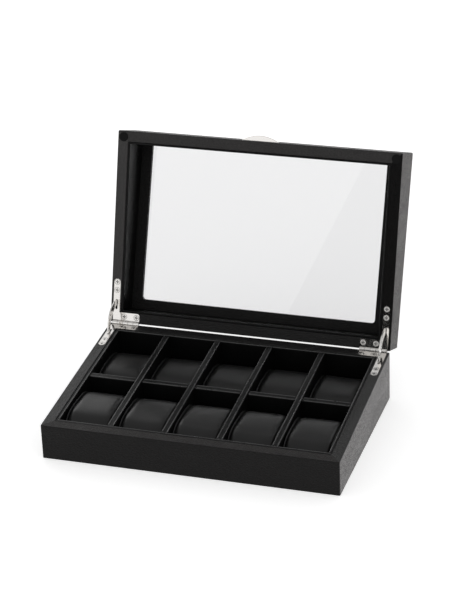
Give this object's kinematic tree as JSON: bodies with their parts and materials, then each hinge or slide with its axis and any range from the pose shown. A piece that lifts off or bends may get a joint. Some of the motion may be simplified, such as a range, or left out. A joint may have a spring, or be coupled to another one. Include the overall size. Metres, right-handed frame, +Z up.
{
  "type": "watch display box",
  "caption": "Black wooden watch box standing open: a divided tray of lift-out cushions under a deep lid with a glass window, on quadrant hinges with arc stays.",
  "frame": {"origin": "centre of the tray's underside, on the surface it stands on", "axes": "+Z up, +Y towards the hinges at the back, -Y towards the front with the finger pull, +X to the right seen from the front"},
  "size_m": [0.315, 0.3177, 0.2594],
  "materials": {
    "stained_wood": "satin black stain over fine grain",
    "padded_lining": "matte black wrapped padding",
    "panel_board": "plain board",
    "felt": "black felt",
    "velvet": "black flocked lining",
    "cushion_cover": "smooth satin black imitation leather",
    "clear_glass": "clear float glass",
    "black_rubber": "matte",
    "polished_nickel": "polished",
    "screw_nickel": "polished, cross recess",
    "pin_steel": "drawn wire"
  },
  "bodies": {
    "tray": {"tray_front_wall": "stained_wood", "tray_back_wall": "stained_wood", "tray_left_wall": "stained_wood", "tray_right_wall": "stained_wood", "underside_felt": "felt", "bottom_panel": "panel_board", "floor_lining": "velvet", "tray_liner_front": "padded_lining", "tray_liner_back": "padded_lining", "tray_liner_left": "padded_lining", "tray_liner_right": "padded_lining", "long_divider_1": "padded_lining", "long_divider_2": "padded_lining", "long_divider_3": "padded_lining", "long_divider_4": "padded_lining", "cross_divider_1": "padded_lining", "cross_divider_2": "padded_lining", "cross_divider_3": "padded_lining", "cross_divider_4": "padded_lining", "cross_divider_5": "padded_lining", "tray_hinge_leaf_left": "polished_nickel", "tray_hinge_screws_left": "screw_nickel", "hinge_pin_left": "pin_steel", "tray_hinge_leaf_right": "polished_nickel", "tray_hinge_screws_right": "screw_nickel", "hinge_pin_right": "pin_steel"},
    "lid": {"lid_front_wall": "stained_wood", "lid_back_wall": "stained_wood", "lid_left_wall": "stained_wood", "lid_right_wall": "stained_wood", "lid_frame": "stained_wood", "glass_pane": "clear_glass", "glass_seal": "black_rubber", "lid_liner_front": "padded_lining", "lid_liner_back": "padded_lining", "lid_liner_left": "padded_lining", "lid_liner_right": "padded_lining", "finger_pull": "polished_nickel", "bumper_left": "black_rubber", "lid_hinge_leaf_left": "polished_nickel", "lid_hinge_screws_left": "screw_nickel", "bumper_right": "black_rubber", "lid_hinge_leaf_right": "polished_nickel", "lid_hinge_screws_right": "screw_nickel"},
    "stay_left": {"stay_left": "polished_nickel"},
    "stay_right": {"stay_right": "polished_nickel"},
    "cushion_front_1": {"cushion_front_1": "cushion_cover"},
    "cushion_front_2": {"cushion_front_2": "cushion_cover"},
    "cushion_front_3": {"cushion_front_3": "cushion_cover"},
    "cushion_front_4": {"cushion_front_4": "cushion_cover"},
    "cushion_front_5": {"cushion_front_5": "cushion_cover"},
    "cushion_back_1": {"cushion_back_1": "cushion_cover"},
    "cushion_back_2": {"cushion_back_2": "cushion_cover"},
    "cushion_back_3": {"cushion_back_3": "cushion_cover"},
    "cushion_back_4": {"cushion_back_4": "cushion_cover"},
    "cushion_back_5": {"cushion_back_5": "cushion_cover"}
  },
  "joints": [
    {"name": "lid_hinge", "type": "hinge", "parent": "tray", "child": "lid", "pos_m": [0, 0.1055, 0.05464], "axis": [1, 0, 0], "range_deg": [0, 110.8]},
    {"name": "stay_left_slide", "type": "hinge", "parent": "tray", "child": "stay_left", "pos_m": [0, 0.1055, 0.05464], "axis": [1, 0, 0], "range_deg": [0, 55.4]},
    {"name": "stay_right_slide", "type": "hinge", "parent": "tray", "child": "stay_right", "pos_m": [0, 0.1055, 0.05464], "axis": [1, 0, 0], "range_deg": [0, 55.4]},
    {"name": "cushion_front_1_lift", "type": "slide", "parent": "tray", "child": "cushion_front_1", "axis": [0, 0, -1], "range_m": [-0.06, 0]},
    {"name": "cushion_front_2_lift", "type": "slide", "parent": "tray", "child": "cushion_front_2", "axis": [0, 0, -1], "range_m": [-0.06, 0]},
    {"name": "cushion_front_3_lift", "type": "slide", "parent": "tray", "child": "cushion_front_3", "axis": [0, 0, -1], "range_m": [-0.06, 0]},
    {"name": "cushion_front_4_lift", "type": "slide", "parent": "tray", "child": "cushion_front_4", "axis": [0, 0, -1], "range_m": [-0.06, 0]},
    {"name": "cushion_front_5_lift", "type": "slide", "parent": "tray", "child": "cushion_front_5", "axis": [0, 0, -1], "range_m": [-0.06, 0]},
    {"name": "cushion_back_1_lift", "type": "slide", "parent": "tray", "child": "cushion_back_1", "axis": [0, 0, -1], "range_m": [-0.06, 0]},
    {"name": "cushion_back_2_lift", "type": "slide", "parent": "tray", "child": "cushion_back_2", "axis": [0, 0, -1], "range_m": [-0.06, 0]},
    {"name": "cushion_back_3_lift", "type": "slide", "parent": "tray", "child": "cushion_back_3", "axis": [0, 0, -1], "range_m": [-0.06, 0]},
    {"name": "cushion_back_4_lift", "type": "slide", "parent": "tray", "child": "cushion_back_4", "axis": [0, 0, -1], "range_m": [-0.06, 0]},
    {"name": "cushion_back_5_lift", "type": "slide", "parent": "tray", "child": "cushion_back_5", "axis": [0, 0, -1], "range_m": [-0.06, 0]}
  ],
  "couplings": [
    {"joint": "stay_left_slide", "follows": "lid_hinge", "ratio": 0.5},
    {"joint": "stay_right_slide", "follows": "lid_hinge", "ratio": 0.5}
  ]
}
